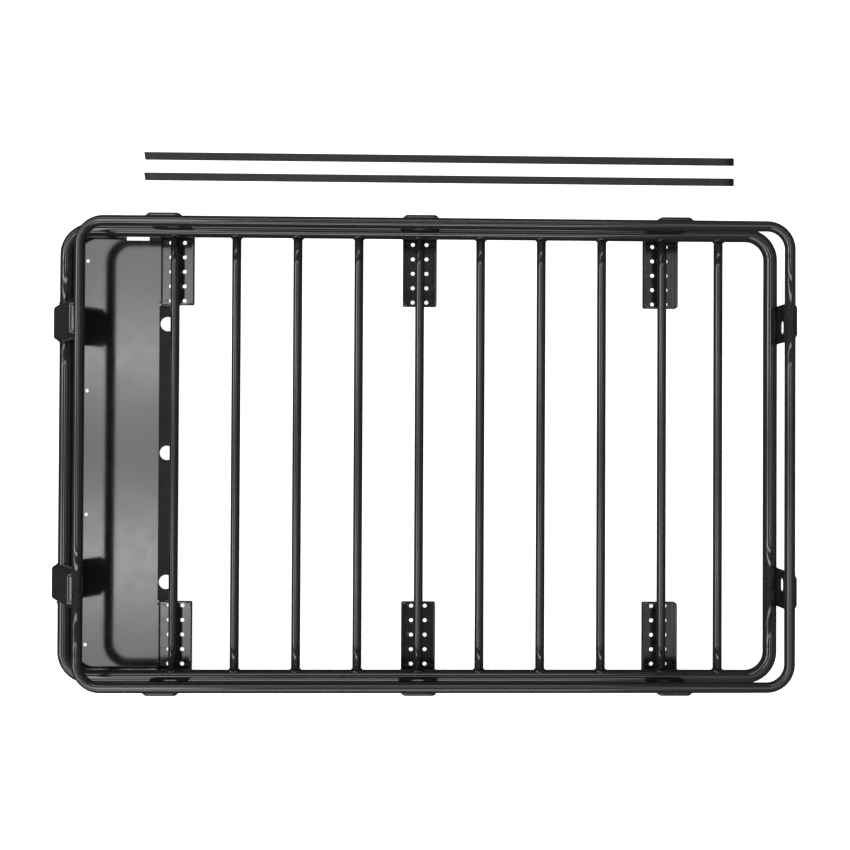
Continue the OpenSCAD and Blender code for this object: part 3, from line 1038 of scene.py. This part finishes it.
class BasketShape(bpy.types.PropertyGroup):
    lower_bend: length("Lower bend", "Corner radius of the lower rail at the tube centre", 62 * MM)
    upper_bend: length("Upper bend", "Corner radius of the upper rail at the tube centre", 55 * MM)
    seam: length("Butt weld", "Distance of the rail butt welds from the middle of each end", 320 * MM)
    weld: length("Weld size", "Half width of the beads round the bar ends", 2.6 * MM)
    upright_width: length("Upright width", "Flat width of a pressed upright", 75 * MM)
    upright_sheet: length("Upright sheet", "Sheet thickness of the uprights", 2.5 * MM)
    flange_lean: bpy.props.FloatProperty(
        name="Flange lean", description="Outward lean of the upright flanges, as a share of their depth",
        default=0.7)
    flange_lap: length("Flange lap", "How far the flanges reach past the tube faces", 6 * MM)
    press_corner: length("Pressed corner", "Corner radius at the top of an upright", 9 * MM)
    sheet_bend: length("Sheet bend", "Run of a sheet bend on each side of its corner", 5 * MM)
    slot_length: length("Slot length", "Length of a strap slot", 33 * MM)
    slot_height: length("Slot height", "Height of a strap slot", 18 * MM)
    slot_rise: length("Slot rise", "Height of the strap slots above the lower rail centre", 24 * MM)
    slot_inset: length("Slot inset", "Shift of the rear strap slots towards the middle", 6 * MM)
    tray_sheet: length("Tray sheet", "Sheet thickness of a tray", 3 * MM)
    tray_corner: length("Tray corner", "Corner radius of a tray seen from above", 4 * MM)
    tray_relief: length("Tray relief", "Radius of the round at the top of a tray's inner corners", 10 * MM)
    tray_hole: length("Tray hole", "Diameter of the tray holes", 10 * MM)
    hole_rows: length("Hole rows", "Distance between the two rows of tray holes", 34 * MM)
    hole_pitch: length("Hole pitch", "Hole pitch along a row", 36 * MM)
    hole_start: length("Hole start", "Inner end of a tray to its first hole", 11.5 * MM)
    deflector_sheet: length("Deflector sheet", "Sheet thickness of the deflector", 2 * MM)
    flange_fall: length("Flange fall", "Fall of the deflector's rear flange to the first bar", 8 * MM)
    flange_gap: length("Flange gap", "End of the rear flange to the tray beside it", 1 * MM)
    rim_hole: length("Front holes", "Diameter of the holes along the front of the deflector", 9 * MM)
    rim_hole_setback: length("Front hole setback", "Front edge of the deflector to the holes", 34.5 * MM)
    rim_hole_inner: length(
        "Inner front holes", "Distance of the inner front holes from the middle", 152.5 * MM)
    rim_hole_pitch: length("Front hole pitch", "Inner to outer front hole", 320 * MM)
    cable_hole: length("Cable hole", "Diameter of the cable holes", 35 * MM)
    cable_margin: length("Cable hole margin", "Fold of the rear flange to the cable holes", 2 * MM)
    cable_pitch: length("Cable hole pitch", "Distance between cable holes", 318.5 * MM)
    notch_gap: length("Notch gap", "Tray to the drain notch", 26 * MM)
    notch_length: length("Notch length", "Length of the drain notch", 56 * MM)
    notch_depth: length("Notch depth", "Depth of the drain notch", 12 * MM)
    strip_skew: length("Strip end", "How far a strip's front end is cut out of square", 3 * MM)


class BasketCoats(bpy.types.PropertyGroup):
    frame: bpy.props.FloatVectorProperty(
        name="Frame", description="Colour of the tubes, uprights and trays",
        default=(0.0175, 0.0173, 0.0180), subtype="COLOR", min=0, max=1)
    deflector: bpy.props.FloatVectorProperty(
        name="Deflector", description="Colour of the wind deflector",
        default=(0.0120, 0.0120, 0.0126), subtype="COLOR", min=0, max=1)
    strip: bpy.props.FloatVectorProperty(
        name="Strips", description="Colour of the loose strips",
        default=(0.0235, 0.0235, 0.0243), subtype="COLOR", min=0, max=1)
    frame_gloss: bpy.props.FloatProperty(
        name="Frame roughness", description="Roughness of the coat on tubes", default=0.10, min=0, max=1)
    sheet_gloss: bpy.props.FloatProperty(
        name="Sheet roughness", description="Roughness of the coat on sheet", default=0.12, min=0, max=1)
    peel: bpy.props.FloatProperty(
        name="Orange peel", description="Strength of the orange peel in the coat", default=0.05, min=0, max=1)


class BasketStudio(bpy.types.PropertyGroup):
    room: bpy.props.FloatProperty(
        name="Room", description="Brightness of the room around the boxes", default=0.2, min=0)
    front_box: bpy.props.FloatProperty(
        name="Front box", description="Brightness of the soft box ahead of the basket", default=7.4, min=0)
    near_box: bpy.props.FloatProperty(
        name="Near box", description="Brightness of the soft box over the deflector", default=7.4, min=0)
    side_box: bpy.props.FloatProperty(
        name="Side box", description="Brightness of the long boxes at both sides", default=5.4, min=0)
    floor_glow: bpy.props.FloatProperty(
        name="Floor glow", description="Own brightness of the floor", default=0.9, min=0)
    lens: bpy.props.FloatProperty(
        name="Lens", description="Focal length in millimetres", default=49.98)
    camera_place: bpy.props.FloatVectorProperty(
        name="Camera place", description="Where the camera stands, above the middle",
        default=(-0.0572, 0.0423, 2.9413), subtype="TRANSLATION")
    camera_turn: bpy.props.FloatVectorProperty(
        name="Camera turn", description="Small tilts of the camera", default=(0.01007, -0.02475, 0.00493),
        subtype="EULER")


# ---- add-on: operators ----

class BASKET_OT_stage(bpy.types.Operator):
    """Set the floor, the soft light and the camera"""
    bl_idname = "basket.stage"
    bl_label = "Studio"

    def execute(self, context):
        studio = context.scene.basket_studio
        context.scene.view_settings.view_transform = "Standard"
        build_dome(studio)
        build_floor(studio)
        build_camera(studio)
        return {"FINISHED"}


class BASKET_OT_rails(bpy.types.Operator):
    """Bend the halves of the lower and the upper rail"""
    bl_idname = "basket.rails"
    bl_label = "Rails"

    def execute(self, context):
        shape = context.scene.basket_shape
        build_rail("lower", LOWER, shape.lower_bend, -shape.seam, "frame_coat")
        build_rail("upper", UPPER, shape.upper_bend, shape.seam, "frame_coat")
        return {"FINISHED"}


class BASKET_OT_bars(bpy.types.Operator):
    """Cope the ten cross bars to the lower rail"""
    bl_idname = "basket.bars"
    bl_label = "Cross bars"

    def execute(self, context):
        for number in range(1, BARS + 1):
            build_cross_bar(number, "frame_coat")
        return {"FINISHED"}


class BASKET_OT_uprights(bpy.types.Operator):
    """Press the side, front and rear uprights"""
    bl_idname = "basket.uprights"
    bl_label = "Uprights"

    def execute(self, context):
        shape = context.scene.basket_shape
        for stand in find_stands():
            build_upright(stand, shape, "frame_coat")
        return {"FINISHED"}


class BASKET_OT_trays(bpy.types.Operator):
    """Press and drill the six mounting trays"""
    bl_idname = "basket.trays"
    bl_label = "Mounting trays"

    def execute(self, context):
        shape = context.scene.basket_shape
        for word, side in SIDES.items():
            for place in PLACES:
                build_tray("tray_" + word + "_" + place, side, shape, "tray_coat")
        return {"FINISHED"}


class BASKET_OT_deflector(bpy.types.Operator):
    """Press the wind deflector"""
    bl_idname = "basket.deflector"
    bl_label = "Wind deflector"

    def execute(self, context):
        shape = context.scene.basket_shape
        build_deflector(shape, "deflector_coat")
        build_deflector_welds(shape, "deflector_coat")
        return {"FINISHED"}


class BASKET_OT_welds(bpy.types.Operator):
    """Lay the weld beads at bars, butts, uprights and trays"""
    bl_idname = "basket.welds"
    bl_label = "Welds"

    def execute(self, context):
        shape = context.scene.basket_shape
        build_bar_welds("frame_coat", shape.weld)
        build_butt_welds(shape, "frame_coat")
        for stand in find_stands():
            build_upright_welds(stand, shape, "frame_coat")
        for word, side in SIDES.items():
            for place in PLACES:
                build_tray_welds("tray_" + word + "_" + place, side, "tray_coat")
        return {"FINISHED"}


class BASKET_OT_strips(bpy.types.Operator):
    """Lay out the two loose strips"""
    bl_idname = "basket.strips"
    bl_label = "Loose strips"

    def execute(self, context):
        shape = context.scene.basket_shape
        build_strip("loose_strip_near", "strip_near", "strip", shape.strip_skew)
        build_strip("loose_strip_far", "strip_far", "strip", shape.strip_skew)
        return {"FINISHED"}


STEPS = (
    BASKET_OT_stage, BASKET_OT_rails, BASKET_OT_bars, BASKET_OT_uprights,
    BASKET_OT_trays, BASKET_OT_deflector, BASKET_OT_welds, BASKET_OT_strips,
)


class BASKET_PT_panel(bpy.types.Panel):
    """Lists the steps that build the basket"""
    bl_idname = "BASKET_PT_panel"
    bl_label = "Roof cargo basket"
    bl_space_type = "VIEW_3D"
    bl_region_type = "UI"
    bl_category = "Basket"

    def draw(self, context):
        for step in STEPS:
            self.layout.operator(step.bl_idname)


SETTINGS = (("basket_shape", BasketShape), ("basket_coats", BasketCoats), ("basket_studio", BasketStudio))


def register():
    for name, group in SETTINGS:
        bpy.utils.register_class(group)
        setattr(bpy.types.Scene, name, bpy.props.PointerProperty(type=group))
    for step in STEPS:
        bpy.utils.register_class(step)
    bpy.utils.register_class(BASKET_PT_panel)


def unregister():
    bpy.utils.unregister_class(BASKET_PT_panel)
    for step in reversed(STEPS):
        bpy.utils.unregister_class(step)
    for name, group in reversed(SETTINGS):
        delattr(bpy.types.Scene, name)
        bpy.utils.unregister_class(group)


def main():
    register()
    for step in STEPS:
        group, action = step.bl_idname.split(".")
        getattr(getattr(bpy.ops, group), action)()


if __name__ == "__main__":
    main()
